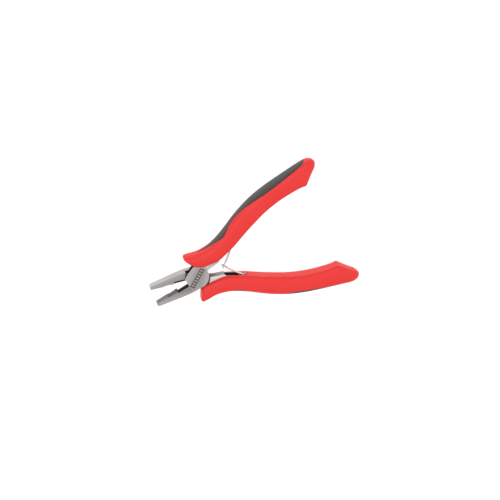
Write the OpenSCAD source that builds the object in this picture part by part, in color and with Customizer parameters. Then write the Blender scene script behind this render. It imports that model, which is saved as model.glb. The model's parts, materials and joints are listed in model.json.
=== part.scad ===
// Small crimping pliers for jewellery work: two forged halves crossed in a
// lap joint, a flush pivot rivet, two-part handle grips and a pair of
// hooked leaf springs that hold the handles open.
// X runs from the jaw tips to the handle ends, Y from handle to handle,
// Z up through the joint. The origin is on the pivot axis, at the joint's
// flat back face. The pliers are drawn open, as the springs leave them.

/* [Jaws] */
// Length of the jaws, from the pivot axis to the tips
jaw_len = 30; // [29:0.2:31]
// Angle between the jaw faces when the springs hold the pliers open
open_angle = 19; // [16:1:19]
// Half thickness of the jaws at their tips
tip_half_t = 2.75; // [2.4:0.05:3]
// Width of one jaw at its tip, seen from the front
tip_w = 2.05; // [1.7:0.05:2.3]
// Number of ridges in the crimping hollow
ridges = 5; // [4:1:6]
// Depth of the crimping hollow
hollow_depth = 0.5; // [0.4:0.05:0.8]

/* [Joint] */
// Radius of each half's joint plate, which sits a little off the pivot
plate_r = 7.15; // [7:0.05:7.2]
// Whole thickness of the lap joint
joint_t = 9; // [8.6:0.1:9.4]
// Radius of the pivot rivet's shank
rivet_r = 2.4; // [2:0.1:2.8]
// Radial running clearance of the pivot rivet
run_gap = 0.03; // [0.02:0.01:0.06]
// Length of the recessed ribbed panel on the front face
panel_len = 13.4; // [12:0.1:13.5]
// Width of the recessed ribbed panel
panel_w = 3; // [2.4:0.1:3.1]

/* [Handles] */
// Angle of each handle from the centre line with the jaws shut
handle_angle = 13.5; // [13:0.1:14]
// Half thickness of the handle grips
grip_half_t = 6.2; // [6:0.05:6.4]
// Half width of the flat inner face of a grip
inner_half_w = 3.9; // [3.4:0.1:4.3]
// Half thickness of the tangs where they show
tang_half_t = 3; // [2.8:0.05:3.2]

/* [Springs] */
// Thickness of the leaf springs
leaf_t = 0.5; // [0.4:0.05:0.55]
// Width of the leaf springs
leaf_w = 3.2; // [2.6:0.1:3.4]

/* [Hidden] */
e = 0.01;
ht = joint_t / 2;            // half thickness of the joint
half_open = open_angle / 2;
lay = 0.03;                  // half the gap between the two lapped plates
arc_r = 7.3;                 // least radius of the hollow around the other plate
plate_c = [-0.3, 1.3];       // middle of a half's plate, pliers open
face_gap = 0.03;             // jaw face to the centre line, jaws shut
chord_ang = 34;              // slanted edge of a plate, from the centre line

// spring geometry, in the handle frame (x along the handle, y outwards)
root = [29, -0.5];           // where a leaf is riveted
rest_dir = handle_angle + half_open;
root_x = root[0] * cos(rest_dir) - root[1] * sin(rest_dir);
root_y = root[0] * sin(rest_dir) + root[1] * cos(rest_dir);
apex_x = 17.1;               // where the leaves cross at rest
leaf_ang = atan2(root_y, root_x - apex_x);
leaf_len = norm([root_x - apex_x, root_y]);
seat_tilt = leaf_ang - rest_dir; // the rivet stands square to the leaf

// ---- helpers ----
// value of a table [[x, v], ...] at x, on a smooth curve through its points
function seg(t, x, i = 0) = (i >= len(t) - 2 || x < t[i + 1][0]) ? i : seg(t, x, i + 1);
function slope(t, i) = i <= 0 ? (t[1][1] - t[0][1]) / (t[1][0] - t[0][0])
    : i >= len(t) - 1 ? (t[i][1] - t[i - 1][1]) / (t[i][0] - t[i - 1][0])
    : (t[i + 1][1] - t[i - 1][1]) / (t[i + 1][0] - t[i - 1][0]);
function herm(t, x, i, h, s) =
    (2*s*s*s - 3*s*s + 1) * t[i][1] + (s*s*s - 2*s*s + s) * h * slope(t, i)
    + (3*s*s - 2*s*s*s) * t[i + 1][1] + (s*s*s - s*s) * h * slope(t, i + 1);
function at(t, x) = let(i = seg(t, x), h = t[i + 1][0] - t[i][0], s = (x - t[i][0]) / h) herm(t, x, i, h, s);

// prism with its outline in X-Z, running the given width along Y
module side_prism(pts, w) { translate([0, w / 2, 0]) rotate([90, 0, 0]) linear_extrude(height = w) polygon(pts); }

// ---- forged half: lower jaw, front plate, upper tang (jaws shut) ----
u_flat = 21.8;               // flat gripping face starts here
u_tooth = 16.0;              // tooth between hollow and cutter
u_cut = 15.0;                // cutter starts here
edge_z = 1.5;                // cutting edge, in front of the middle plane
function hollow(u) = let(s = (u_flat - 0.3 - u) / (u_flat - 0.3 - u_tooth - 0.5))
    0.22 + (hollow_depth - 0.3) * sin(180 * s) + 0.18 * cos(360 * ridges * s);
jaw_pts = concat(
    [[-jaw_len + 0.3, -face_gap], [-jaw_len, -face_gap - 0.3], [-jaw_len - 0.05, -tip_w + 0.35], [-jaw_len + 0.35, -tip_w]],
    [[-22, -3.4], [-14, -4.75], [-11, -5.15], [-8, -5.5], [-5, -5.65], [-2.5, -5.6], [-0.5, -5.4], [3, 0], [-7, -face_gap]],
    [[-u_cut, -face_gap], [-u_cut - 0.05, -0.5], [-u_cut - 0.45, -0.5], [-u_tooth + 0.2, -face_gap - 0.02], [-u_tooth - 0.15, -face_gap - 0.02]],
    [for (i = [0:4 * ridges]) let(u = u_tooth + 0.5 + (u_flat - 0.3 - u_tooth - 0.5) * i / (4 * ridges)) [-u, -hollow(u)]],
    [[-u_flat, -face_gap]]);
jaw_side = [[-32, -tip_half_t], [-32, tip_half_t - 0.15], [-jaw_len, tip_half_t], [-5, ht], [3.5, ht], [3.5, -2.9], [-8, -2.9], [-jaw_len, -tip_half_t]];

tang_front = [[-2.65, 7.35], [2.5, 7.6], [8, 7.3], [14, 6.2], [20.5, 5.4], [25.2, 5], [25.2, -1.1], [17.2, -1.1], [15.9, -1.9], [7, -0.3], [3, 0]];
tang_side = [[-3, -tang_half_t], [-3, ht], [6, ht], [9.5, tang_half_t], [26, tang_half_t], [26, -tang_half_t]];
tang_rear = [[20, 5.45], [26, 5], [36, 5.5], [50, 6.6], [60, 6.3], [70, 5], [72, 4.4], [72, 3], [70, 2.5], [60, 2.9], [50, 3],
             [36, 1.7], [32, 1.35], [30.2, 1.3], [29.35, 0.17], [28.88, -0.24], [28.26, -0.33], [27.5, 1.6], [20, 1.6]];

module spring_rivet_hole() {
    translate([root[0], root[1], 0]) rotate([0, 0, seat_tilt]) rotate([-90, 0, 0]) cylinder(r = 0.5, h = 3, $fn = 32);
}

module tang() {
    difference() {
        union() {
            intersection() {
                translate([0, 0, -6]) linear_extrude(height = 12) polygon(tang_front);
                translate([0, 5, 0]) side_prism(tang_side, 30);
            }
            translate([0, 0, -2]) linear_extrude(height = 4) polygon(tang_rear);
        }
        translate([-6, 0, -8]) cube([9, 12, 8 + lay]);
        // pocket that the leaf spring sits over
        intersection() {
            translate([0, 1.3, 0]) rotate([90, 0, 0]) linear_extrude(height = 4.3) hull() {
                translate([18.8, 0]) circle(r = 2.45, $fn = 48);
                translate([23, -2.45]) square([2.31, 4.9]);
            }
            translate([0, 0, -3]) linear_extrude(height = 6) polygon([[16.2, -3], [16.2, -0.2], [18, 1.3], [25.3, 1.3], [25.3, -3]]);
        }
        spring_rivet_hole();
    }
}

// a half's plate, or the room it needs, in the jaws-shut frame
module plate(r, z, h) { rotate([0, 0, -half_open]) translate([plate_c[0], plate_c[1], z]) cylinder(r = r, h = h, $fn = 96); }

module forged_half(front) {
    rotate([0, 0, half_open]) difference() {
        union() {
            difference() {
                plate(plate_r, lay, ht - lay);
                // slanted edge beside the other jaw
                rotate([0, 0, -half_open]) translate([-8.4, 3.25, -1]) rotate([0, 0, chord_ang]) cube([16, 5, 8]);
            }
            intersection() {
                translate([0, 0, -6]) linear_extrude(height = 12) polygon(jaw_pts);
                translate([0, -4, 0]) side_prism(jaw_side, 20);
            }
            rotate([0, 0, handle_angle]) tang();
        }
        // room for the other half's plate and for the corner of its tang
        translate([0, 0, -8]) cylinder(r = arc_r, h = 8 + lay, $fn = 96);
        translate([-7, -9, -8]) cube([8, 6, 8 + lay]);
        for (a = [-6.5:6.4:19.1]) rotate([0, 0, a - half_open]) translate([plate_c[0], -plate_c[1], -8])
            cylinder(r = plate_r + 0.16, h = 8 + lay, $fn = 96);
        // cutter bevels: short on the front side of the tool, long on the back
        translate([-u_cut + 0.05, 0, 0]) rotate([0, 90, 0]) linear_extrude(height = u_cut - 7.6)
            polygon([for (p = [[edge_z + 0.08, 1], [edge_z + 0.08, 0], [edge_z + 3.08, front ? -0.7 : -3], [9, 1]]) [front ? -p[0] : p[0], p[1]]]);
        translate([-u_cut + 0.05, 0, 0]) rotate([0, 90, 0]) linear_extrude(height = u_cut - 7.6)
            polygon([for (p = [[edge_z - 0.08, 1], [edge_z - 0.08, 0], [edge_z - 6.08, -2.1], [-9, 1]]) [front ? -p[0] : p[0], p[1]]]);
        if (front) {
            // blind seat of the pivot rivet and the recessed ribbed panel
            translate([0, 0, -1]) cylinder(r = rivet_r, h = 4.2, $fn = 64);
            rotate([0, 0, -half_open]) translate([-0.6, 0.8, ht - 0.28]) rotate([0, 0, 40]) panel_recess();
        } else {
            // running bore of the pivot rivet and the seat of its head
            translate([0, 0, -1]) cylinder(r = rivet_r + run_gap, h = 8, $fn = 64);
            translate([0, 0, ht - 1.2]) cylinder(r = rivet_r + 1.2, h = 2, $fn = 64);
        }
    }
}

module panel_recess() {
    difference() {
        translate([-panel_len / 2, -panel_w / 2, 0]) cube([panel_len, panel_w, 2]);
        for (i = [0:6]) translate([-panel_len / 2 + 1.35 + i * (panel_len - 2.7) / 6 - 0.3, -panel_w / 2 + 0.45, -1])
            cube([0.6, panel_w - 0.9, 1.22]);
    }
}

module front_half() { color([0.66, 0.64, 0.62]) translate([0, 0, ht]) forged_half(true); }
module rear_half() { color([0.72, 0.70, 0.68]) translate([0, 0, ht]) rotate([180, 0, 0]) forged_half(false); }

// shank pressed into the front half, head flush with the back face
module pivot_rivet() {
    color([0.6, 0.6, 0.62]) rotate_extrude($fn = 64)
        polygon([[0, 0], [rivet_r + 1.16, 0], [rivet_r + 1.16, 1.15], [rivet_r, 1.15], [rivet_r, ht + 3.15], [0, ht + 3.15]]);
}

// ---- grips ----
// outer and inner outline of a grip, in the handle frame
outer_t = [[2.3, 15.4], [3.3, 15.9], [5, 15.2], [8, 13.35], [10, 12.15], [12, 11.25], [15, 10.35], [18, 9.75], [21, 9.45], [25, 9.5], [30, 9.95],
    [35, 10.7], [40, 11.5], [45, 12.1], [50, 12.5], [55, 12.55], [60, 12.3], [65, 11.75], [70, 11], [75, 10.1], [80, 9.1],
    [85, 8.1], [90, 7.05], [94, 6.1], [97, 5.1], [99, 3.8], [100, 2.3], [100.3, 1.2]];
inner_t = [[2.3, 13.6], [2.4, 10.6], [2.65, 8.3], [3.1, 6.8], [3.8, 5.7], [4.7, 4.85], [5.8, 4.1], [7, 3.4], [8.4, 2.6], [10, 1.9], [12.2, 0.95], [15.2, -0.35], [18, -1], [21, -1.1], [25, -1.2],
    [30, -1.1], [35, -0.65], [40, -0.2], [45, 0.1], [50, 0.3], [55, 0.4], [60, 0.2], [65, -0.3], [70, -1.1], [76, -2.5],
    [80, -3.6], [83, -4.6], [85, -5.5], [86.4, -6.2], [87.6, -5.9], [90, -4.7], [92, -3.8], [95, -2.6], [98, -1.6], [99.4, -0.7], [100.3, 0.1]];
thick_t = [[2.3, 0.76], [3.5, 0.88], [6, 0.95], [12, 1], [30, 1], [80, 1], [90, 0.96], [95, 0.88], [98, 0.72], [99.5, 0.5], [100.3, 0.26]];
// edge of the dark inlay, as an angle round the outer side of the grip's section:
// narrow at the guard, wide at the front waist, narrow over the swell, wide at the rear waist, narrow at the end
edge_key = [[12, 86], [29, 42], [42, 67], [69, 31], [98, 68]];
function edge_wave(x) = let(i = seg(edge_key, x), p = edge_key[i], q = edge_key[i + 1], s = min(1, max(0, (x - p[0]) / (q[0] - p[0]))))
    p[1] + (q[1] - p[1]) * (1 - cos(180 * s)) / 2;
inlay_a = 12;
inlay_b = 95.4;

stations = concat([2.3, 2.6, 3, 3.5, 4.2, 5, 6, 7, 8.3, 9.6, 11, inlay_a - 0.06, inlay_a, 13.5, 15, 17, 19, 21, 23, 25, 27, 29],
    [for (x = [31.5:2.5:84]) x], [85.3, 86.4, 87.5, 89, 90.8, 92.5, 94, inlay_b, inlay_b + 0.06, 96.6, 97.8, 98.8, 99.6, 100.1, 100.3]);
sq = 2.7;                    // squareness of the grip's section
function mid_y(x) = 0.52 * at(inner_t, x) + 0.48 * at(outer_t, x);
function inlaid(x) = x >= inlay_a && x <= inlay_b;
function edge_th(x) = inlaid(x) ? edge_wave(x) : 80;
inlay_t = 0.8;               // depth of the recess along the inlay's edge
// a point on the outer side of the section; th runs from 0 at the widest place to 90
function out_pt(x, th) = let(m = mid_y(x), o = at(outer_t, x), h = grip_half_t * at(thick_t, x))
    [m + (o - m) * pow(sin(th), 2 / sq), h * pow(cos(th), 2 / sq)];
// a point on the inner side; s runs from 0 at the ridge to 1 at the widest place
function in_pt(x, s) = let(m = mid_y(x), i = at(inner_t, x), f = at(thick_t, x), h = grip_half_t * f, w = inner_half_w * f)
    [i + (m - i) * s, w + (h - w) * pow(1 - pow(1 - s, 2.2), 1 / 2.2)];

function half_ring(x) = let(tb = edge_th(x), b = out_pt(x, tb)) concat(
    [for (s = [0, 0.12, 0.3, 0.55, 0.78]) in_pt(x, s)],
    [for (i = [0:4]) out_pt(x, tb * i / 5)],
    [b],
    inlaid(x) ? [for (i = [0:2]) [b[0] - inlay_t, b[1] * (1 - i / 3)]] : [for (i = [1:3]) out_pt(x, tb + (90 - tb) * i / 4)]);
function inlay_ring(x) = let(tb = edge_th(x), b = out_pt(x, tb)) concat(
    [[b[0] - inlay_t + 0.03, b[1] - 0.04]],
    [for (i = [0:4]) out_pt(x, tb + 0.6 + (89.4 - tb) * i / 4.5)]);
// closes a half ring by mirroring it in z
function ring(h) = concat([for (p = h) [p[0], p[1]]], [for (i = [len(h) - 1:-1:0]) [h[i][0], -h[i][1]]]);

module loft(xs, rings) {
    n = len(rings[0]);
    k = len(xs);
    pts = concat([for (i = [0:k - 1]) for (p = rings[i]) [xs[i], p[0], p[1]]],
        [[xs[0], (min([for (p = rings[0]) p[0]]) + max([for (p = rings[0]) p[0]])) / 2, 0],
         [xs[k - 1], (min([for (p = rings[k - 1]) p[0]]) + max([for (p = rings[k - 1]) p[0]])) / 2, 0]]);
    faces = concat(
        [for (i = [0:k - 2]) for (j = [0:n - 1]) [i * n + j, i * n + (j + 1) % n, (i + 1) * n + j]],
        [for (i = [0:k - 2]) for (j = [0:n - 1]) [i * n + (j + 1) % n, (i + 1) * n + (j + 1) % n, (i + 1) * n + j]],
        [for (j = [0:n - 1]) [k * n, (j + 1) % n, j]],
        [for (j = [0:n - 1]) [k * n + 1, (k - 1) * n + j, (k - 1) * n + (j + 1) % n]]);
    polyhedron(points = pts, faces = faces);
}

module grip_shell() {
    rotate([0, 0, rest_dir]) difference() {
        loft(stations, [for (x = stations) ring(half_ring(x))]);
        // socket of the tang
        intersection() {
            translate([0, 0, -6]) linear_extrude(height = 12) polygon(tang_front);
            translate([0, 5, 0]) side_prism(tang_side, 30);
        }
        translate([0, 0, -2]) linear_extrude(height = 4) polygon(tang_rear);
        // room for this half's own plate and for its tang's mouth, and the slot of the leaf spring
        rotate([0, 0, -rest_dir]) translate([plate_c[0], plate_c[1], -0.5]) cylinder(r = plate_r + 0.12, h = ht + 0.6, $fn = 96);
        translate([0, 0, -tang_half_t]) linear_extrude(height = 2 * tang_half_t) polygon([[12, -4], [12, 1], [25.2, 1], [25.2, -4]]);
        translate([0, 0, -2.4]) linear_extrude(height = 4.8) polygon([[25, -4], [25, 1.7], [31, 1.7], [31, -4]]);
    }
}
module grip_inlay() {
    xs = [for (x = stations) if (inlaid(x)) x];
    rotate([0, 0, rest_dir]) loft(xs, [for (x = xs) ring(inlay_ring(x))]);
}

module upper_grip_shell() { color([0.93, 0.26, 0.25]) translate([0, 0, ht]) grip_shell(); }
module upper_grip_inlay() { color([0.41, 0.41, 0.39]) translate([0, 0, ht]) grip_inlay(); }
module lower_grip_shell() { color([0.93, 0.26, 0.25]) translate([0, 0, ht]) rotate([180, 0, 0]) grip_shell(); }
module lower_grip_inlay() { color([0.41, 0.41, 0.39]) translate([0, 0, ht]) rotate([180, 0, 0]) grip_inlay(); }

// ---- springs ----
// places a leaf: x runs from the rivet towards the crossing, y across the leaf
module at_leaf() { translate([root_x, root_y, ht]) rotate([0, 0, 180 + leaf_ang]) children(); }
module leaf_hole() { rotate([90, 0, 0]) translate([0, 0, -3]) cylinder(r = 0.68, h = 6, $fn = 32); }

// tongue that passes through the other leaf, with a cross bar on its end
module upper_leaf_spring() {
    color([0.85, 0.85, 0.86]) at_leaf() difference() {
        union() {
            translate([-1.2, -leaf_t / 2, -leaf_w / 2]) cube([leaf_len - 1.2, leaf_t, leaf_w]);
            translate([leaf_len - 2.6, -leaf_t / 2, -0.6]) cube([4, leaf_t, 1.2]);
            translate([leaf_len + 1, -leaf_t / 2, -leaf_w / 2]) cube([0.6, leaf_t, leaf_w]);
        }
        leaf_hole();
    }
}
// slotted leaf
module lower_leaf_spring() {
    color([0.85, 0.85, 0.86]) translate([0, 0, ht]) rotate([180, 0, 0]) translate([0, 0, -ht]) at_leaf() difference() {
        translate([-1.2, -leaf_t / 2, -leaf_w / 2]) cube([leaf_len + 2.8, leaf_t, leaf_w]);
        translate([leaf_len - 2.4, -2, -0.95]) cube([3.3, 4, 1.9]);
        leaf_hole();
    }
}

module spring_rivet() {
    rotate([0, 0, rest_dir]) translate([root[0], root[1], 0]) rotate([0, 0, seat_tilt]) rotate([-90, 0, 0])
        rotate_extrude($fn = 32) polygon([[0, -0.95], [0.7, -0.95], [1, -0.75], [1, -0.56], [0.5, -0.42], [0.5, 3], [0, 3]]);
}
module upper_spring_rivet() { color([0.6, 0.6, 0.62]) translate([0, 0, ht]) spring_rivet(); }
module lower_spring_rivet() { color([0.6, 0.6, 0.62]) translate([0, 0, ht]) rotate([180, 0, 0]) spring_rivet(); }

front_half();
rear_half();
pivot_rivet();
upper_grip_shell();
upper_grip_inlay();
lower_grip_shell();
lower_grip_inlay();
upper_leaf_spring();
lower_leaf_spring();
upper_spring_rivet();
lower_spring_rivet();
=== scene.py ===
import json
import math
import bmesh
import bpy
import numpy as np
from mathutils import Matrix, Vector


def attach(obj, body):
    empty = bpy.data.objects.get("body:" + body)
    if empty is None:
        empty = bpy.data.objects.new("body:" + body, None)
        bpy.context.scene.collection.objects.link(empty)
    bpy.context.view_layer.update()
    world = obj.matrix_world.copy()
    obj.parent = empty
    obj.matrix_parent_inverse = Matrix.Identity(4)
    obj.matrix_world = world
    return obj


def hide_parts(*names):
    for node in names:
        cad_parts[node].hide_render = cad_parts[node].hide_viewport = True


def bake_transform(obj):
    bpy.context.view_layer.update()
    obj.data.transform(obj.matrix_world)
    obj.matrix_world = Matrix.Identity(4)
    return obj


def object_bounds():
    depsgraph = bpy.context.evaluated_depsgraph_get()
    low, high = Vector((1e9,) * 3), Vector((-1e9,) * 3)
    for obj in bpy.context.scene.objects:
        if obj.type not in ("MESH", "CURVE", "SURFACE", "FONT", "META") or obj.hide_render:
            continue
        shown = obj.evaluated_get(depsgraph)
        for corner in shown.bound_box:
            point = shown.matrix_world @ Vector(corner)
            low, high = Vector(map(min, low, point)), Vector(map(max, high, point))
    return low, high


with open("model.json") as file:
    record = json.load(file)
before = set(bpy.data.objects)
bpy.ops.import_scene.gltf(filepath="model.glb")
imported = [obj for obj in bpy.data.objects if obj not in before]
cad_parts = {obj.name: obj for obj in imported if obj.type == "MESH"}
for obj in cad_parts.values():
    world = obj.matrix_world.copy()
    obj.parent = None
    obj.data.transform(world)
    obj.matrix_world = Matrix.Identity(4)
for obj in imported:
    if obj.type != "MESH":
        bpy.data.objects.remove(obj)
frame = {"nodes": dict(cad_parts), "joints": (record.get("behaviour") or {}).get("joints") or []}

lo0, hi0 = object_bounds()
MM = 0.001
nodes = frame["nodes"]
joints = {j["name"]: j for j in frame["joints"]}
PIVOT = Vector(joints["main_pivot"]["pos_m"])
ZM = PIVOT.z                                   # middle plane of the pliers
ROOT_U = Vector(joints["upper_leaf_bend"]["pos_m"])
ROOT_L = Vector(joints["lower_leaf_bend"]["pos_m"])
REST = math.radians(23.0)                      # angle of each handle from the centre line
bpy.context.scene.view_settings.view_transform = "Standard"

# ------------------------------------------------------------------ camera
T, AL, B = math.radians(22.0), math.radians(115.5), math.radians(23.0)
e1 = Vector((math.cos(B), -math.sin(B), 0))
e2 = Vector((math.sin(B), math.cos(B), 0))
zz = Vector((0, 0, 1))
a3 = math.cos(AL) * e1 + math.sin(AL) * e2
b3 = -math.sin(AL) * e1 + math.cos(AL) * e2
back = math.sin(T) * a3 + math.cos(T) * zz
down = math.cos(T) * a3 - math.sin(T) * zz
right = math.cos(AL) * down - math.sin(AL) * b3
up = math.sin(AL) * down + math.cos(AL) * b3
aim = Vector((0.0356338, 0.0025082, ZM))
dist = 1.281
cam_data = bpy.data.cameras.new("camera")
cam = bpy.data.objects.new("camera", cam_data)
bpy.context.scene.collection.objects.link(cam)
cam_data.lens, cam_data.sensor_width = 36 * dist / 0.305, 36
cam_data.clip_start, cam_data.clip_end = 0.05, 20
loc = aim + back * dist
cam.matrix_world = Matrix(((right.x, up.x, back.x, loc.x), (right.y, up.y, back.y, loc.y), (right.z, up.z, back.z, loc.z), (0, 0, 0, 1)))
bpy.context.scene.camera = cam


# ------------------------------------------------------------------ materials
def new_mat(name):
    m = bpy.data.materials.new(name)
    m.use_nodes = True
    nt = m.node_tree
    nt.nodes.clear()
    out = nt.nodes.new("ShaderNodeOutputMaterial")
    p = nt.nodes.new("ShaderNodeBsdfPrincipled")
    nt.links.new(p.outputs[0], out.inputs[0])
    return m, nt, p


class G:
    """Small helpers for wiring shader nodes."""

    def __init__(self, nt):
        self.nt = nt

    def add(self, kind, **values):
        n = self.nt.nodes.new(kind)
        for k, v in values.items():
            setattr(n, k, v)
        return n

    def link(self, a, b):
        self.nt.links.new(a, b)

    def coords(self, rot=(0, 0, 0), scale=(1, 1, 1), loc=(0, 0, 0)):
        tc = self.add("ShaderNodeTexCoord")
        mp = self.add("ShaderNodeMapping")
        mp.inputs["Rotation"].default_value = rot
        mp.inputs["Scale"].default_value = scale
        mp.inputs["Location"].default_value = loc
        self.link(tc.outputs["Object"], mp.inputs["Vector"])
        return mp.outputs[0]

    def noise(self, vec, scale, detail=2.0, rough=0.5, distortion=0.0):
        n = self.add("ShaderNodeTexNoise")
        n.inputs["Scale"].default_value = scale
        n.inputs["Detail"].default_value = detail
        n.inputs["Roughness"].default_value = rough
        n.inputs["Distortion"].default_value = distortion
        self.link(vec, n.inputs["Vector"])
        return n.outputs["Fac"]

    def math(self, op, a, b=None, c=None, clamp=False):
        n = self.add("ShaderNodeMath", operation=op, use_clamp=clamp)
        for i, v in enumerate((a, b, c)):
            if v is None:
                continue
            if isinstance(v, (int, float)):
                n.inputs[i].default_value = v
            else:
                self.link(v, n.inputs[i])
        return n.outputs[0]

    def remap(self, v, a, b, c, d):
        n = self.add("ShaderNodeMapRange")
        n.inputs[1].default_value, n.inputs[2].default_value = a, b
        n.inputs[3].default_value, n.inputs[4].default_value = c, d
        self.link(v, n.inputs[0])
        return n.outputs[0]

    def mix(self, f, a, b):
        n = self.add("ShaderNodeMix", data_type="RGBA")
        for sock, v in ((n.inputs[0], f), (n.inputs[6], a), (n.inputs[7], b)):
            if isinstance(v, (int, float)):
                sock.default_value = v
            elif isinstance(v, tuple):
                sock.default_value = v if len(v) == 4 else (*v, 1)
            else:
                self.link(v, sock)
        return n.outputs[2]

    def bump(self, height, strength, dist, normal=None):
        n = self.add("ShaderNodeBump")
        n.inputs["Strength"].default_value = strength
        n.inputs["Distance"].default_value = dist
        self.link(height, n.inputs["Height"])
        if normal is not None:
            self.link(normal, n.inputs["Normal"])
        return n.outputs[0]


def steel(name, base, grain_deg, half=None):
    """Ground steel: fine parallel grinding lines, soft blotches, brighter worn edges, and darkening in the corners that
    is painted shade, partly grease.
    half is "front" or "rear" for the two forged halves, whose jaws, plate and tang get different colours, some of them
    painted highlights and painted shade."""
    m, nt, p = new_mat(name)
    g = G(nt)
    rot = (0, 0, -math.radians(grain_deg))
    fine = g.noise(g.coords(rot, (260, 6500, 2600)), 1.0, 3, 0.62)
    coarse = g.noise(g.coords(rot, (60, 1500, 700)), 1.0, 3, 0.6)
    pits = g.noise(g.coords(scale=(1900, 1900, 1900)), 1.0, 2, 0.5)
    blotch = g.noise(g.coords(scale=(160, 160, 160)), 1.0, 3, 0.55)
    geo = g.add("ShaderNodeNewGeometry")
    worn = g.remap(geo.outputs["Pointiness"], 0.52, 0.6, 0.0, 1.0)
    lines = g.math("ADD", g.math("MULTIPLY", fine, 0.6), g.math("MULTIPLY", coarse, 0.4))
    tone = g.math("ADD", g.math("MULTIPLY", g.math("SUBTRACT", lines, 0.5), 0.75), g.math("MULTIPLY", g.math("SUBTRACT", blotch, 0.5), 0.35))
    rough = g.remap(lines, 0.25, 0.75, 0.3, 0.46)
    flat = base if not half else HALF_TONES_AND_PAINTED_LIGHT[half]["plate"]
    if half:
        front = half == "front"
        half_tones = HALF_TONES_AND_PAINTED_LIGHT[half]
        tc = g.add("ShaderNodeTexCoord")
        step = lambda v, a, b: g.remap(v, a, b, 0.0, 1.0)
        mul = lambda *a: a[0] if len(a) == 1 else g.math("MULTIPLY", a[0], mul(*a[1:]), clamp=True)

        def along(deg, k=1000.0):
            d = g.add("ShaderNodeVectorMath", operation="DOT_PRODUCT")
            g.link(tc.outputs["Object"], d.inputs[0])
            d.inputs[1].default_value = (k * math.cos(math.radians(deg)), k * math.sin(math.radians(deg)), 0)
            return d.outputs["Value"]
        sg = 1 if front else -1
        x = along(180 + sg * 9.5)                                # mm from the pivot, along the jaw
        v = along(sg * (-90 + 9.5))                              # mm from the jaw's gripping face, into the jaw
        hx, hy = along(sg * 23.0), along(sg * (23.0 + 90))       # mm in the handle's frame
        sep = g.add("ShaderNodeSeparateXYZ")
        g.link(tc.outputs["Object"], sep.inputs[0])
        hz = g.math("ABSOLUTE", g.math("MULTIPLY_ADD", sep.outputs[2], 1000.0, -ZM * 1000.0))
        nrm = g.add("ShaderNodeSeparateXYZ")
        vt = g.add("ShaderNodeVectorTransform", vector_type="NORMAL", convert_from="WORLD", convert_to="OBJECT")
        g.link(geo.outputs["True Normal"], vt.inputs[0])
        g.link(vt.outputs[0], nrm.inputs[0])
        side = g.math("SUBTRACT", 1.0, g.math("ABSOLUTE", nrm.outputs[2]))   # 1 on walls, 0 on the flat faces
        wall = step(side, 0.25, 0.6)
        faces_in = step(g.math("MULTIPLY", nrm.outputs[1], sg * 1.0), -0.2, -0.5) if front else step(nrm.outputs[1], 0.2, 0.5)
        jaw = mul(step(x, 6.9, 7.5), step(v, -1.5, -1.1))
        flat = g.mix(jaw, half_tones["plate"], g.mix(step(x, 8, 30), half_tones["root"], half_tones["tip"]))
        # the tangs are painted lighter than the plate, near-white on the rear half: a painted highlight for the light
        # their sloped faces catch
        tang = mul(step(hx, 6.8, 7.6), step(hy, -3.5, -3.0)) if front else mul(step(hx, 6.2, 7.2), step(hy, -3.5, -3.0))
        flat = g.mix(tang, flat, g.mix(step(hx, 8, 15), half_tones["tang0"], half_tones["tang"]))
        # painted shade: the tang's side walls facing the other handle take the lower "inside" colour
        flat = g.mix(mul(tang, wall, faces_in), flat, half_tones["inside"])
        # painted shade: the jaw's side walls are lowered to 0.72 of their colour on the rear half
        shade_w = g.mix(mul(jaw, step(side, 0.5, 0.85)), (1.0, 1.0, 1.0), (half_tones["wall"],) * 3)
        fm = g.add("ShaderNodeMix", data_type="RGBA", blend_type="MULTIPLY")
        fm.inputs[0].default_value = 1.0
        g.link(flat, fm.inputs[6])
        g.link(shade_w, fm.inputs[7])
        flat = fm.outputs[2]
    col = g.mix(g.math("ADD", tone, 0.5, clamp=True), (0.78, 0.78, 0.78), (1.0, 1.0, 1.0))
    mm = g.add("ShaderNodeMix", data_type="RGBA", blend_type="MULTIPLY")
    mm.inputs[0].default_value = 1.0
    g.link(col, mm.inputs[6])
    if isinstance(flat, tuple):
        mm.inputs[7].default_value = (*flat, 1)
    else:
        g.link(flat, mm.inputs[7])
    col = mm.outputs[2]
    col = g.mix(g.math("MULTIPLY", worn, 0.3, clamp=True), col, (0.86, 0.85, 0.83))
    if half:
        grip = mul(jaw, wall, step(v, 2.2, 1.9), step(x, 29.75, 29.5), step(g.math("MULTIPLY", nrm.outputs[1], -float(sg)), 0.2, -0.2) if not front else step(nrm.outputs[1], -0.2, 0.2))
        # the cutting edges' bevels are painted near-black: painted shade on the bevels
        cutter = mul(step(x, 15.2, 15.0), step(x, 7.4, 7.7), step(v, 3.4, 3.2), step(side, 0.03, 0.08), step(side, 0.97, 0.93))
        reach = 1.0 if front else 1.62
        cutter = g.math("MAXIMUM", cutter, mul(step(x, 15.2, 15.0), step(x, 7.4, 7.7), step(v, reach, reach - 0.12)))
        scale_noise = g.noise(g.coords(scale=(900, 900, 2400)), 1.0, 3, 0.6)
        # the crimping hollow gets near-black stripes every millimetre: painted shade of its teeth
        hollow = mul(step(x, 21.9, 21.7), step(x, 16.3, 16.6))
        wave = g.math("COSINE", g.math("MULTIPLY", g.math("SUBTRACT", 21.5, x), 2 * math.pi))
        ridged = g.mix(step(wave, 0.5, -0.5), half_tones["valley"], half_tones["hollow"])
        col = g.mix(mul(grip, g.remap(scale_noise, 0.3, 0.7, 0.8, 1.0)), col, g.mix(hollow, half_tones["grip"], ridged))
        col = g.mix(mul(cutter, 0.95), col, (0.010, 0.010, 0.011))
        # painted shade: the pocket in the tang where the leaf sits is painted near-black
        pocket = mul(step(hx, 16.1, 16.4), step(hx, 31.5, 31.0), step(hz, 2.62, 2.5), step(hy, 2.2, 2.0))
        col = g.mix(mul(pocket, 0.97), col, (0.006, 0.005, 0.005))
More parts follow.
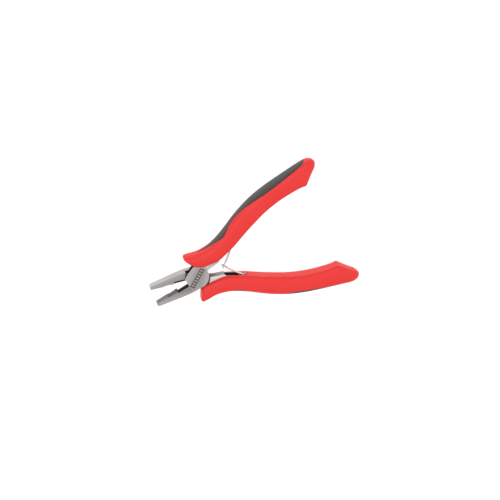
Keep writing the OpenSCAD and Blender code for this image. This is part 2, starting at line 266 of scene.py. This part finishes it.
        # the slanted edge of the front plate and the well behind it are painted near-black: painted shade in the recess
        px = g.math("MULTIPLY", sep.outputs[0], 1000.0)
        py = g.math("MULTIPLY", sep.outputs[1], 1000.0)
        rise = g.math("SUBTRACT", g.math("ADD", along(34.0 + 90), 8.4 * math.cos(math.radians(124))), 3.25 * math.sin(math.radians(124)))
        if front:
            lean = g.math("SUBTRACT", g.math("MULTIPLY", nrm.outputs[1], math.cos(math.radians(34))), g.math("MULTIPLY", nrm.outputs[0], math.sin(math.radians(34))))
            well = mul(step(lean, 0.45, 0.6), step(rise, -0.35, -0.25), step(px, -5.8, -5.2), step(py, 4.0, 4.5))
        else:
            zr = g.math("MULTIPLY_ADD", sep.outputs[2], 1000.0, -ZM * 1000.0)
            well = mul(step(rise, -0.2, 0.1), step(px, -6.1, -5.4), step(px, 0.6, 0.1), step(py, 3.6, 4.2), step(zr, -0.3, -0.2), step(zr, 2.75, 2.6))
        col = g.mix(mul(well, 0.97), col, (0.008, 0.005, 0.006))
        if front:
            # the panel's floor lies below the front face
            pr = g.add("ShaderNodeMapping", vector_type="TEXTURE")
            pr.inputs["Location"].default_value = (-0.0006, 0.0008, 0)
            pr.inputs["Rotation"].default_value = (0, 0, math.radians(40.0))
            g.link(tc.outputs["Object"], pr.inputs["Vector"])
            ps = g.add("ShaderNodeSeparateXYZ")
            g.link(pr.outputs[0], ps.inputs[0])
            inside = mul(step(g.math("ABSOLUTE", ps.outputs[0]), 0.0068, 0.0067), step(g.math("ABSOLUTE", ps.outputs[1]), 0.0015, 0.00145))
            low = mul(inside, step(ps.outputs[2], 0.00894, 0.00888), step(ps.outputs[2], 0.0084, 0.0085))
            col = g.mix(mul(low, g.remap(pits, 0.3, 0.7, 0.8, 1.0)), col, half_tones["panel"])
    # painted shade: ambient occlusion darkens the steel towards near-black in crevices and gaps, standing in for their
    # shade as well as grease
    ao = g.add("ShaderNodeAmbientOcclusion", samples=8)
    ao.inputs["Distance"].default_value = 0.0013
    grease_and_crevice_shade = g.math("MULTIPLY", g.remap(ao.outputs["AO"], 0.25, 0.75, 0.85, 0.0), g.remap(blotch, 0.3, 0.6, 0.75, 1.0), clamp=True)
    if half:
        grease_and_crevice_shade = mul(grease_and_crevice_shade, g.math("SUBTRACT", 1.0, mul(step(px, -8.6, -8.2), step(px, -5.8, -6.4), step(py, -1.5, -1.0), 0.9)))
    col = g.mix(grease_and_crevice_shade, col, (0.02, 0.018, 0.017))
    nt.links.new(col, p.inputs["Base Color"])
    matt = grease_and_crevice_shade
    if half:
        matt = g.math("MAXIMUM", matt, g.math("MAXIMUM", well, g.math("MAXIMUM", pocket, g.math("MULTIPLY", cutter, 0.8))))
    metal = g.math("SUBTRACT", 1.0, matt)
    if half == "rear":
        # satin nickel on the tang's flat faces: most of its light is scattered; their near-white colour is a painted
        # highlight
        metal = mul(metal, g.math("SUBTRACT", 1.0, mul(tang, g.math("SUBTRACT", 1.0, mul(wall, faces_in)), 0.85)))
    g.link(metal, p.inputs["Metallic"])
    g.link(g.math("MULTIPLY", g.math("SUBTRACT", 1.0, matt), 0.5), p.inputs["Specular IOR Level"])
    nt.links.new(rough, p.inputs["Roughness"])
    p.inputs["Anisotropic"].default_value = 0.35
    nb = g.bump(lines, 0.32, 0.00003)
    nt.links.new(g.bump(pits, 0.12, 0.00003, nb), p.inputs["Normal"])
    return m


# colours for the two halves: "tang0" and "tang" are painted highlights; "inside", "wall" and "valley" are painted shade
HALF_TONES_AND_PAINTED_LIGHT = {
    "front": {"plate": (0.535, 0.49, 0.485), "root": (0.43, 0.40, 0.385), "tip": (0.50, 0.475, 0.465), "tang0": (0.56, 0.49, 0.47), "tang": (0.58, 0.50, 0.47),
              "inside": (0.3, 0.3, 0.3), "grip": (0.10, 0.098, 0.098), "hollow": (0.13, 0.12, 0.115), "valley": (0.03, 0.028, 0.027), "panel": (0.145, 0.125, 0.12), "wall": 1.0},
    "rear": {"plate": (0.45, 0.43, 0.42), "root": (0.46, 0.43, 0.405), "tip": (0.47, 0.445, 0.425), "tang0": (0.93, 0.84, 0.80), "tang": (1.0, 0.93, 0.88),
             "inside": (0.062, 0.066, 0.062), "grip": (0.08, 0.08, 0.08), "hollow": (0.10, 0.10, 0.10), "valley": (0.03, 0.03, 0.03), "panel": (0.1, 0.1, 0.1), "wall": 0.72}}


def red_plastic():
    m, nt, p = new_mat("grip_red_plastic")
    g = G(nt)
    big = g.noise(g.coords(scale=(45, 45, 45)), 1.0, 3, 0.5)
    fine = g.noise(g.coords(scale=(2600, 2600, 2600)), 1.0, 3, 0.55)
    skin = g.noise(g.coords(scale=(700, 700, 700)), 1.0, 2, 0.5, 0.4)
    rub = g.noise(g.coords(scale=(120, 120, 120)), 1.0, 4, 0.62)
    col = g.mix(big, (0.86, 0.030, 0.026), (0.93, 0.038, 0.033))
    nt.links.new(col, p.inputs["Base Color"])
    nt.links.new(g.remap(rub, 0.3, 0.7, 0.50, 0.62), p.inputs["Roughness"])
    p.inputs["IOR"].default_value = 1.47
    p.inputs["Specular IOR Level"].default_value = 0.45
    p.inputs["Coat Weight"].default_value = 0.0
    p.inputs["Coat Roughness"].default_value = 0.28
    nb = g.bump(skin, 0.10, 0.00004)
    nt.links.new(g.bump(fine, 0.14, 0.00002, nb), p.inputs["Normal"])
    return m


def grey_rubber():
    m, nt, p = new_mat("inlay_grey_rubber")
    g = G(nt)
    big = g.noise(g.coords(scale=(90, 90, 90)), 1.0, 3, 0.5)
    v = g.add("ShaderNodeTexVoronoi", feature="SMOOTH_F1")
    v.inputs["Scale"].default_value = 2300
    v.inputs["Smoothness"].default_value = 0.6
    g.link(g.coords(), v.inputs["Vector"])
    fine = g.noise(g.coords(scale=(4200, 4200, 4200)), 1.0, 2, 0.5)
    at = g.add("ShaderNodeAttribute", attribute_name="rim_shade")
    col = g.mix(big, (0.078, 0.074, 0.076), (0.104, 0.099, 0.100))
    col = g.mix(g.math("MULTIPLY", v.outputs["Distance"], 0.5, clamp=True), col, (0.09, 0.09, 0.083))
    # painted shade: the inlay gets near-black towards its edge beside the red shell
    col = g.mix(g.math("MULTIPLY", at.outputs["Fac"], 0.45), col, (0.022, 0.021, 0.02))
    nt.links.new(col, p.inputs["Base Color"])
    nt.links.new(g.remap(fine, 0.3, 0.7, 0.52, 0.68), p.inputs["Roughness"])
    p.inputs["Specular IOR Level"].default_value = 0.26
    nb = g.bump(v.outputs["Distance"], 0.3, 0.00005)
    nt.links.new(g.bump(fine, 0.2, 0.00002, nb), p.inputs["Normal"])
    return m


def spring_steel():
    m, nt, p = new_mat("bright_spring_steel")
    g = G(nt)
    at = g.add("ShaderNodeAttribute", attribute_name="along")
    lines = g.noise(g.coords(scale=(500, 500, 6000)), 1.0, 2, 0.5)
    blot = g.noise(g.coords(scale=(300, 300, 300)), 1.0, 3, 0.5)
    col = g.mix(blot, (0.50, 0.50, 0.47), (0.66, 0.65, 0.61))
    nt.links.new(col, p.inputs["Base Color"])
    p.inputs["Metallic"].default_value = 1.0
    nt.links.new(g.remap(lines, 0.3, 0.7, 0.2, 0.36), p.inputs["Roughness"])
    nt.links.new(g.bump(lines, 0.2, 0.00002), p.inputs["Normal"])
    return m


M_RED, M_GREY, M_SPRING = red_plastic(), grey_rubber(), spring_steel()
M_FRONT = steel("ground_steel_front", None, 22, "front")
M_REAR = steel("ground_steel_rear", None, -22, "rear")
M_RIVET = steel("rivet_steel", (0.55, 0.55, 0.56), 80)


# ------------------------------------------------------------------ mesh helpers
def make_object(name, verts, faces, mat):
    me = bpy.data.meshes.new(name)
    me.from_pydata([tuple(v) for v in verts], [], [tuple(f) for f in faces])
    me.validate()
    me.update()
    o = bpy.data.objects.new(name, me)
    bpy.context.scene.collection.objects.link(o)
    me.materials.append(mat)
    return o


def apply_modifiers(o):
    dg = bpy.context.evaluated_depsgraph_get()
    dg.update()
    me = bpy.data.meshes.new_from_object(o.evaluated_get(dg), preserve_all_data_layers=True, depsgraph=dg)
    o.modifiers.clear()
    old = o.data
    o.data = me
    bpy.data.meshes.remove(old)
    return o


def shade(o, deg):
    """Smooth shading, with edges sharper than deg kept sharp."""
    bm = bmesh.new()
    bm.from_mesh(o.data)
    lim = math.radians(deg)
    for f in bm.faces:
        f.smooth = True
    for e in bm.edges:
        e.smooth = not (len(e.link_faces) == 2 and e.calc_face_angle(0) > lim)
    bm.to_mesh(o.data)
    bm.free()
    o.data.update()


def prism(name, pts, z0, z1, to_world):
    """A prism over a polygon, mapped to the row frame by to_world(x, y, z) in mm."""
    n = len(pts)
    v = [to_world(x, y, z0) for x, y in pts] + [to_world(x, y, z1) for x, y in pts]
    f = [tuple(range(n))[::-1], tuple(range(n, 2 * n))] + [(i, (i + 1) % n, n + (i + 1) % n, n + i) for i in range(n)]
    o = make_object(name, v, f, M_RED)
    bm = bmesh.new()
    bm.from_mesh(o.data)
    bmesh.ops.recalc_face_normals(bm, faces=bm.faces)
    bm.to_mesh(o.data)
    bm.free()
    return o


# ------------------------------------------------------------------ grips
OUTER = [(2.3, 15.4), (3.3, 15.9), (5, 15.2), (8, 13.35), (10, 12.15), (12, 11.25), (15, 10.35), (18, 9.75), (21, 9.45), (25, 9.5), (30, 9.95),
         (35, 10.7), (40, 11.5), (45, 12.1), (50, 12.49), (55, 12.53), (60, 12.29), (65, 11.75), (70, 11), (75, 10.1), (80, 9.1),
         (85, 8.1), (90, 7.04), (94, 6.08), (97, 5.08), (99, 3.78), (100, 2.3), (100.3, 1.2)]
INNER = [(2.3, 14.1), (2.5, 12.0), (2.8, 10.1), (3.3, 8.2), (3.95, 6.7), (4.75, 5.4), (5.8, 4.35), (7, 3.45), (8.4, 2.6), (10, 1.9), (12.2, 0.95), (15.2, -0.35), (18, -1), (21, -1.1), (25, -1.2),
         (30, -1.1), (35, -0.65), (40, -0.2), (45, 0.1), (50, 0.3), (55, 0.4), (60, 0.2), (65, -0.3), (70, -1.1), (76, -2.5),
         (80, -3.6), (83, -4.6), (85, -5.5), (86.2, -6.13), (86.5, -6.2), (86.9, -6.08), (88, -5.65), (90, -4.7), (92, -3.8), (95, -2.6), (98, -1.6),
         (99.4, -0.7), (100.3, 0.1)]
INNER_LOW = [(2.3, 13.4), (2.36, 9.8), (2.5, 7.6), (2.85, 6.3), (3.5, 5.35), (4.5, 4.6), (5.7, 4.0), (7, 3.4), (8.4, 2.6), (10, 1.9), (12.2, 0.95), (15.2, -0.35), (18, -1), (21, -1.1), (25, -1.2),
         (30, -1.1), (35, -0.65), (40, -0.2), (45, 0.1), (50, 0.3), (55, 0.4), (60, 0.2), (65, -0.3), (70, -1.1), (76, -2.5),
         (80, -3.6), (83, -4.6), (85, -5.5), (86.2, -6.13), (86.5, -6.2), (86.9, -6.08), (88, -5.65), (90, -4.7), (92, -3.8), (95, -2.6), (98, -1.6),
         (99.4, -0.7), (100.3, 0.1)]
THICK = [(2.3, 0.76), (3.5, 0.88), (6, 0.95), (12, 1), (30, 1), (80, 1), (90, 0.965), (94, 0.91), (96.5, 0.83), (98.3, 0.69), (99.4, 0.54), (100, 0.38), (100.3, 0.24)]
EDGE = [(11, 87), (14, 83), (17.5, 77), (21.5, 67), (25.8, 51), (28.7, 42), (32, 48), (35, 59), (38, 65), (42, 67), (46.5, 64),
        (51.3, 55), (56.3, 44), (61, 36), (66, 31), (72, 31), (78, 36), (84.4, 43), (90, 48), (93.2, 52), (97, 56)]
EDGE_LOW = [(11, 85), (14, 77), (17.5, 64), (21.5, 50), (25, 43), (28.7, 46), (32, 56), (35, 65), (38, 70), (42, 70), (46.5, 65),
            (51.3, 55), (56.3, 44), (61, 36), (66, 34), (72, 38), (78, 46), (84.4, 51), (90, 54), (93.2, 57), (97, 60)]
HT, IW, SQ = 6.19, 3.9, 2.7
IN_A, IN_B = 11.2, 96.2


def curve(t):
    xs, ys = np.array([p[0] for p in t], float), np.array([p[1] for p in t], float)
    sl = np.empty(len(xs))
    sl[1:-1] = (ys[2:] - ys[:-2]) / (xs[2:] - xs[:-2])
    sl[0], sl[-1] = (ys[1] - ys[0]) / (xs[1] - xs[0]), (ys[-1] - ys[-2]) / (xs[-1] - xs[-2])

    def f(x):
        i = int(np.clip(np.searchsorted(xs, x, side="right") - 1, 0, len(xs) - 2))
        h = xs[i + 1] - xs[i]
        s = (x - xs[i]) / h
        return ((2 * s**3 - 3 * s * s + 1) * ys[i] + (s**3 - 2 * s * s + s) * h * sl[i]
                + (3 * s * s - 2 * s**3) * ys[i + 1] + (s**3 - s * s) * h * sl[i + 1])
    return f


f_out, f_thick = curve(OUTER), curve(THICK)
f_in = {"upper": curve(INNER), "lower": curve(INNER_LOW)}
f_edge = {"upper": curve(EDGE), "lower": curve(EDGE_LOW)}


def section(side, x, shrink=1.0):
    """Half of the grip's section at x: a smooth polyline of (y, z) in mm from the middle of the inner face, over the front,
    to the middle of the outer side, with its arc lengths."""
    i, o, f = f_in[side](x), f_out(x), f_thick(x)
    m, h, w = 0.52 * i + 0.48 * o, HT * f, IW * f
    flat = [(i, w * k / 14) for k in range(14)]
    s = np.linspace(0, 1, 60) ** 1.3
    flank = [(i + (m - i) * a, w + (h - w) * (1 - (1 - a) ** 2.2) ** (1 / 2.2)) for a in s]
    th = np.radians(np.linspace(0, 90, 90))[1:]
    top = [(m + (o - m) * math.sin(a) ** (2 / SQ), h * max(0.0, math.cos(a)) ** (2 / SQ)) for a in th]
    p = np.array(flat + flank + top)
    if shrink != 1.0:
        c = np.array([(i + o) / 2, 0])
        p = c + (p - c) * shrink
    full = np.vstack([p[::-1] * (1, -1), p[1:]])               # from outer middle round to outer middle
    d = np.r_[0, np.cumsum(np.hypot(*np.diff(full, axis=0).T))]
    n = 901
    u = np.linspace(0, d[-1], n)
    q = np.c_[np.interp(u, d, full[:, 0]), np.interp(u, d, full[:, 1])]
    sig = min(0.24, 0.02 * d[-1]) / (d[-1] / (n - 1))
    k = np.arange(-int(3 * sig) - 1, int(3 * sig) + 2)
    ker = np.exp(-0.5 * (k / sig) ** 2)
    ker /= ker.sum()
    pad = len(k) // 2
    for c in range(2):
        e = np.r_[q[-1 - pad:-1, c], q[:, c], q[1:1 + pad, c]]
        q[:, c] = np.convolve(e, ker, "valid")
    half = q[n // 2:]
    half[0, 1] = half[-1, 1] = 0
    L = np.r_[0, np.cumsum(np.hypot(*np.diff(half, axis=0).T))]
    return half, L


def pick(half, L, u):
    return np.c_[np.interp(u, L, half[:, 0]), np.interp(u, L, half[:, 1])]


def inward(half, L, u):
    """Unit normals pointing into the section at arc lengths u."""
    a, b = pick(half, L, np.clip(u - 0.05, 0, L[-1])), pick(half, L, np.clip(u + 0.05, 0, L[-1]))
    t = b - a
    t /= np.maximum(1e-9, np.hypot(*t.T))[:, None]
    return np.c_[t[:, 1], -t[:, 0]]


def border(side, x, half, L):
    """Arc length at which the inlay's edge crosses the section; its half width closes to nothing at both ends."""
    z = HT * f_thick(x) * math.cos(math.radians(f_edge[side](min(x, 96.9)))) ** (2 / SQ)
    if x < IN_A + 2.2:
        z *= math.sqrt(max(0.0, 1 - ((IN_A + 2.2 - x) / 2.2) ** 2)) ** 0.9
    if x > IN_B - 3.2:
        z *= math.sqrt(max(0.0, 1 - ((x - IN_B + 3.2) / 3.2) ** 2))
    z = max(z, 0.02)
    j = len(half) // 2 + int(np.argmax(half[len(half) // 2:, 1] < z) if (half[len(half) // 2:, 1] < z).any() else 0)
    k = j
    while k > 1 and half[k - 1, 1] < z:
        k -= 1
    z0, z1 = half[k - 1, 1], half[k, 1]
    return L[k - 1] + (L[k] - L[k - 1]) * (z0 - z) / max(1e-9, z0 - z1)


def stations():
    a = [2.3, 2.34, 2.42, 2.52, 2.66, 2.84, 3.05, 3.3, 3.6, 3.9, 4.25, 4.6, 5, 5.4, 5.8]
    a += list(np.arange(6.3, IN_A - 0.3, 0.5))
    a += [IN_A + d for d in (-0.25, -0.12, -0.02, 0.01, 0.06, 0.14, 0.26, 0.42, 0.62, 0.86, 1.14, 1.45, 1.8, 2.2)]
    a += list(np.arange(IN_A + 2.6, 84.4, 0.6))
    a += [84.9, 85.4, 85.8, 86.1, 86.35, 86.5, 86.65, 86.9, 87.3, 87.8]
    a += list(np.arange(88.4, IN_B - 3.2, 0.6))
    a += [IN_B - d for d in (3.0, 2.6, 2.2, 1.8, 1.4, 1.05, 0.75, 0.5, 0.3, 0.16, 0.07, 0.01, -0.02, -0.12, -0.25)]
    a += [96.8, 97.3, 97.8, 98.25, 98.65, 99, 99.3, 99.55, 99.76, 99.93, 100.06, 100.16, 100.23, 100.28, 100.3]
    return sorted(set(round(float(v), 4) for v in a))


XS = stations()
SHRINK = {2.3: 0.80, 2.34: 0.86, 2.42: 0.91, 2.52: 0.945, 2.66: 0.968, 2.84: 0.984, 3.05: 0.994, 100.3: 0.55, 100.28: 0.72}
SEC = {side: {x: section(side, x, SHRINK.get(x, 1.0)) for x in XS} for side in ("upper", "lower")}
DEPTH = 0.85
N_SKIN, N_FLOOR = 60, 7


def shell_half(side, x):
    half, L = SEC[side][x]
    if x <= IN_A or x >= IN_B:
        sb, deep = L[-1] - 0.02, 0.0
    else:
        sb = border(side, x, half, L)
        deep = 1.0
    lip = min(0.22, (L[-1] - sb) * 0.5) if deep else 0.0
    wc = min(IW * f_thick(x), 0.45 * (sb - lip))                # the corner beside the flat inner face gets close rows
    dc = min(0.8, 0.4 * wc)
    u = np.r_[np.linspace(0, wc - dc, 6), np.linspace(wc - dc, wc + dc, 17)[1:], np.linspace(wc + dc, sb - lip, N_SKIN - 21)[1:]]
    pts = pick(half, L, u)
    nrm = inward(half, L, np.array([sb]))[0]
    end = pick(half, L, np.array([sb]))[0]
    if deep:
        room = min(1.0, (L[-1] - sb) / 1.0)
        c = pts[-1]
        r = [c + (end - c) * a + nrm * b * room for a, b in ((0.45, 0.03), (0.8, 0.11), (1.0, 0.24))]
        bottom = end + nrm * DEPTH * room
        fl = [bottom * (1, 1 - k / (N_FLOOR - 1)) for k in range(N_FLOOR)]
        return np.vstack([pts, r, fl])
    rest = pick(half, L, np.linspace(sb, L[-1], 4 + N_FLOOR)[1:])
    return np.vstack([pts, rest])


def inlay_half(side, x):
    half, L = SEC[side][x]
    sb = border(side, x, half, L)
    span = L[-1] - sb
    room = min(1.0, span / 1.0)
    gap = 0.05 * room
    u = sb + gap + (span - gap) * np.linspace(0, 1, 22) ** 1.25
    pts, nrm = pick(half, L, u), inward(half, L, u)
    d = u - sb
    sink = 0.30 * np.exp(-((d / 0.16) ** 2)) + 0.16 * np.exp(-((d / 1.1) ** 2))
    pts = pts + nrm * (sink * room)[:, None]
    pts[-1, 1] = 0
    root = pts[0] + nrm[0] * (DEPTH - 0.35) * room
    # weights for the painted shade along the inlay's edge, where its surface dips
    edge_shade = np.exp(-((d / max(0.4, min(1.9, span * 0.22))) ** 2))
    edge_shade = np.r_[1.0, edge_shade]
    return np.vstack([root, pts]), edge_shade


def handle_to_row(upper):
    c, s = math.cos(REST), math.sin(REST)

    def f(x, y, z):
        X, Y = x * c - y * s, x * s + y * c
        return (X * MM, Y * MM, ZM + z * MM) if upper else (X * MM, -Y * MM, ZM - z * MM)
    return f


def loft(name, xs, halves, mat, to_row, attr=None):
    n = len(halves[0]) * 2
    verts, vals = [], []
    for x, h in zip(xs, halves):
        ring = np.vstack([h, h[::-1] * (1, -1)])
        verts += [to_row(x, y, z) for y, z in ring]
    if attr is not None:
        for a in attr:
            vals += list(a) + list(a[::-1])
    k = len(xs)
    faces = [(i * n + j, i * n + (j + 1) % n, (i + 1) * n + (j + 1) % n, (i + 1) * n + j) for i in range(k - 1) for j in range(n)]
    for e, flip in ((0, True), (k - 1, False)):
        hh = halves[e]
        verts.append(to_row(xs[e], (hh[:, 0].min() + hh[:, 0].max()) / 2, 0))
        vals.append(1.0)
        c = len(verts) - 1
        for j in range(n):
            t = (e * n + j, e * n + (j + 1) % n, c)
            faces.append(t[::-1] if flip else t)
    o = make_object(name, verts, faces, mat)
    if attr is not None:
        at = o.data.attributes.new("rim_shade", "FLOAT", "POINT")
        at.data.foreach_set("value", np.array(vals, np.float32))
    bm = bmesh.new()
    bm.from_mesh(o.data)
    bmesh.ops.remove_doubles(bm, verts=bm.verts, dist=2e-7)
    bmesh.ops.recalc_face_normals(bm, faces=bm.faces)
    bm.to_mesh(o.data)
    bm.free()
    return o


TANG_FRONT = [(-2.65, 7.35), (2.5, 7.6), (8, 7.3), (14, 6.2), (20.5, 5.4), (25.2, 5), (25.2, -3), (12, -3), (10, -0.6), (7, -0.3), (3, 0)]


def cut(o, tools):
    for t in tools:
        m = o.modifiers.new("cut", "BOOLEAN")
        m.operation, m.solver, m.object = "DIFFERENCE", "EXACT", t
    apply_modifiers(o)
    for t in tools:
        bpy.data.objects.remove(t)


def stadium(x0, x1, r, n=14):
    pts = []
    for k in range(n + 1):
        a = math.pi / 2 + math.pi * k / n
        pts.append((x0 + r + r * math.cos(a), r * math.sin(a)))
    for k in range(n + 1):
        a = -math.pi / 2 + math.pi * k / n
        pts.append((x1 - r + r * math.cos(a), r * math.sin(a)))
    return pts


def grip(side, body):
    upper = side == "upper"
    to_row = handle_to_row(upper)
    sh = loft(side + "_grip_cover", XS, [shell_half(side, x) for x in XS], M_RED, to_row)
    socket = prism("t1", TANG_FRONT, -3.06, 3.06, to_row)
    slot = prism("t2", stadium(21.0, 30.8, 2.4), -4.0, 1.65, lambda x, y, z: to_row(x, z, y))
    c, s = math.cos(REST), math.sin(REST)
    ring = [(-0.3 + 7.25 * math.cos(a), 1.3 + 7.25 * math.sin(a)) for a in np.radians(np.arange(0, 360, 3.0))]
    plate = prism("t3", [(x * c + y * s, -x * s + y * c) for x, y in ring], -0.5, 4.58, to_row)
    cut(sh, [socket, slot, plate])
    shade(sh, 38)
    ix = [x for x in XS if IN_A < x < IN_B]
    hv = [inlay_half(side, x) for x in ix]
    inl = loft(side + "_grip_soft_inlay", ix, [h for h, _ in hv], M_GREY, to_row, [d for _, d in hv])
    shade(inl, 50)
    for o, node, slot_name in ((sh, side + "_grip_shell", "grip_red"), (inl, side + "_grip_inlay", "grip_grey")):
        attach(o, body)
        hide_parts(node)
    return sh, inl


grip("upper", "front_body")
grip("lower", "rear_body")


# ------------------------------------------------------------------ forged halves and rivets
def forged(node, mat, body, width):
    src = nodes[node]
    me = src.data.copy()
    o = bpy.data.objects.new(node + "_ground", me)
    bpy.context.scene.collection.objects.link(o)
    bm = bmesh.new()
    bm.from_mesh(me)
    bmesh.ops.remove_doubles(bm, verts=bm.verts, dist=1e-6)
    bmesh.ops.dissolve_limit(bm, angle_limit=math.radians(1.0), verts=bm.verts, edges=bm.edges)
    edges = [e for e in bm.edges if len(e.link_faces) == 2 and e.calc_face_angle(0) > math.radians(24)]
    bmesh.ops.bevel(bm, geom=edges, offset=width, offset_type="OFFSET", segments=3, profile=0.6, affect="EDGES", clamp_overlap=True)
    bmesh.ops.remove_doubles(bm, verts=bm.verts, dist=1e-7)
    bm.to_mesh(me)
    bm.free()
    me.materials.clear()
    me.materials.append(mat)
    shade(o, 32)
    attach(o, body)
    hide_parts(node)
    return o


forged("front_half", M_FRONT, "front_body", 0.00012)
forged("rear_half", M_REAR, "rear_body", 0.00012)
forged("pivot_rivet", M_RIVET, "front_body", 0.00008)
forged("upper_spring_rivet", M_RIVET, "front_body", 0.00006)
forged("lower_spring_rivet", M_RIVET, "rear_body", 0.00006)


# ------------------------------------------------------------------ leaf springs
APEX = Vector((0.0171, 0, ZM))
LEN = (APEX - ROOT_U).length / MM
LT, LW = 0.44, 3.1


def leaf(side, root):
    ang = math.atan2(APEX.y - root.y, APEX.x - root.x)
    ca, sa = math.cos(ang), math.sin(ang)
    L = LEN

    def bow(x):
        return (0.32 if side == "upper" else 0.55) * math.sin(math.pi * min(1, max(0, x / L)))

    def place(x, y, z):
        return (root.x + (x * ca - y * sa) * MM, root.y + (x * sa + y * ca) * MM, ZM + z * MM)

    if side == "upper":
        xs = sorted(set([round(v, 3) for v in np.linspace(-1.1, L - 2.8, 44)] + [round(v, 3) for v in np.linspace(L - 2.8, L - 1.9, 9)]
                        + [round(v, 3) for v in np.linspace(L - 1.9, L + 0.95, 10)] + [L + 1.0, L + 1.12, L + 1.3, L + 1.48, L + 1.58]))

        def halfw(x):
            if x < L - 2.8:
                return LW / 2 * (0.86 + 0.14 * min(1, (x + 1.1) / 0.6))
            if x < L - 1.9:
                t = (x - (L - 2.8)) / 0.9
                return LW / 2 + (0.55 - LW / 2) * (t * t * (3 - 2 * t))
            if x < L + 0.99:
                return 0.55
            return LW / 2 * (0.92 if x > L + 1.5 or x < L + 1.05 else 1.0)
        rows = [(-1, -0.5), (-0.5, 0), (0, 0.5), (0.5, 1)]
        cols = [[(halfw(x) * a) for a in (-1, -0.5, 0, 0.5, 1)] for x in xs]
        skip = lambda i, r: False
    else:
        s0, s1 = L - 2.35, L + 0.85
        xs = sorted(set([round(v, 3) for v in np.linspace(-1.1, s0, 44)] + [round(s0 + d, 3) for d in (0.08, 0.2, 0.4)]
                        + [round(v, 3) for v in np.linspace(s0 + 0.6, s1 - 0.4, 8)] + [round(s1 - d, 3) for d in (0.2, 0.08, 0)] + [L + 1.0, L + 1.2, L + 1.4, L + 1.55]))

        def halfw(x):
            if x > L + 1.1:
                return LW / 2 * (1 - 0.25 * ((x - L - 1.1) / 0.45) ** 2)
            return LW / 2 * (0.86 + 0.14 * min(1, (x + 1.1) / 0.6))

        def slotw(x):
            d = min(x - s0, s1 - x)
            return 0.92 * min(1.0, math.sqrt(max(0.04, 1 - (1 - min(1, d / 0.6)) ** 2))) if d >= -1e-6 else 0.92 * 0.2
        cols = [[-halfw(x), -slotw(x), 0, slotw(x), halfw(x)] for x in xs]
        skip = lambda i, r: s0 - 1e-6 <= xs[i] and xs[i + 1] <= s1 + 1e-6 and r in (1, 2)
    bm = bmesh.new()
    grid = [[bm.verts.new(place(x, bow(x), z)) for z in c] for x, c in zip(xs, cols)]
    for i in range(len(xs) - 1):
        for r in range(4):
            if not skip(i, r):
                bm.faces.new((grid[i][r], grid[i + 1][r], grid[i + 1][r + 1], grid[i][r + 1]))
    loose = [v for v in bm.verts if not v.link_faces]
    bmesh.ops.delete(bm, geom=loose, context="VERTS")
    bmesh.ops.recalc_face_normals(bm, faces=bm.faces)
    me = bpy.data.meshes.new(side + "_spring_leaf")
    bm.to_mesh(me)
    bm.free()
    me.materials.append(M_SPRING)
    o = bpy.data.objects.new(side + "_spring_leaf", me)
    bpy.context.scene.collection.objects.link(o)
    s = o.modifiers.new("thick", "SOLIDIFY")
    s.thickness, s.offset, s.use_even_offset = LT * MM, 0, True
    b = o.modifiers.new("round", "BEVEL")
    b.width, b.segments, b.limit_method, b.angle_limit = 0.00009, 2, "ANGLE", math.radians(50)
    apply_modifiers(o)
    shade(o, 40)
    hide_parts(side + "_leaf_spring")
    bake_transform(o)
    return o


leaf("upper", ROOT_U)
leaf("lower", ROOT_L)


# ------------------------------------------------------------------ stage and light
def stage_floor():
    m, nt, p = new_mat("pale_floor")
    p.inputs["Base Color"].default_value = (0.5, 0.5, 0.5, 1)
    p.inputs["Roughness"].default_value = 0.9
    p.inputs["Specular IOR Level"].default_value = 0.1
    p.inputs["Emission Color"].default_value = (1, 1, 1, 1)
    p.inputs["Emission Strength"].default_value = 0.75
    s = 3.0
    z = lo0.z - 0.0002
    o = make_object("floor", [(-s, -s, z), (s, -s, z), (s, s, z), (-s, s, z)], [(0, 1, 2, 3)], m)


stage_floor()


def area(name, loc, size, energy, target=(0.03, 0.0, 0.0), color=(1, 1, 1)):
    d = bpy.data.lights.new(name, "AREA")
    d.shape, d.size, d.energy, d.color = "DISK", size, energy, color
    o = bpy.data.objects.new(name, d)
    bpy.context.scene.collection.objects.link(o)
    o.location = loc
    o.rotation_euler = (Vector(target) - Vector(loc)).to_track_quat("-Z", "Y").to_euler()
    return o


area("key", (-0.25, 0.45, 0.95), 0.55, 3.8)
area("fill", (0.7, -0.5, 0.7), 0.8, 2.3)

world = bpy.data.worlds.new("studio")
bpy.context.scene.world = world
world.use_nodes = True
wn = world.node_tree
bg = wn.nodes["Background"] if "Background" in wn.nodes else wn.nodes.new("ShaderNodeBackground")
tc = wn.nodes.new("ShaderNodeTexCoord")
sp = wn.nodes.new("ShaderNodeSeparateXYZ")
rp = wn.nodes.new("ShaderNodeValToRGB")
wn.links.new(tc.outputs["Generated"], sp.inputs[0])
wn.links.new(sp.outputs[2], rp.inputs[0])
rp.color_ramp.elements[0].position, rp.color_ramp.elements[0].color = 0.0, (0.42, 0.42, 0.43, 1)
rp.color_ramp.elements[1].position, rp.color_ramp.elements[1].color = 1.0, (1.0, 1.0, 1.0, 1)
el = rp.color_ramp.elements.new(0.35)
el.color = (0.62, 0.62, 0.63, 1)
wn.links.new(rp.outputs[0], bg.inputs[0])
bg.inputs[1].default_value = 0.72
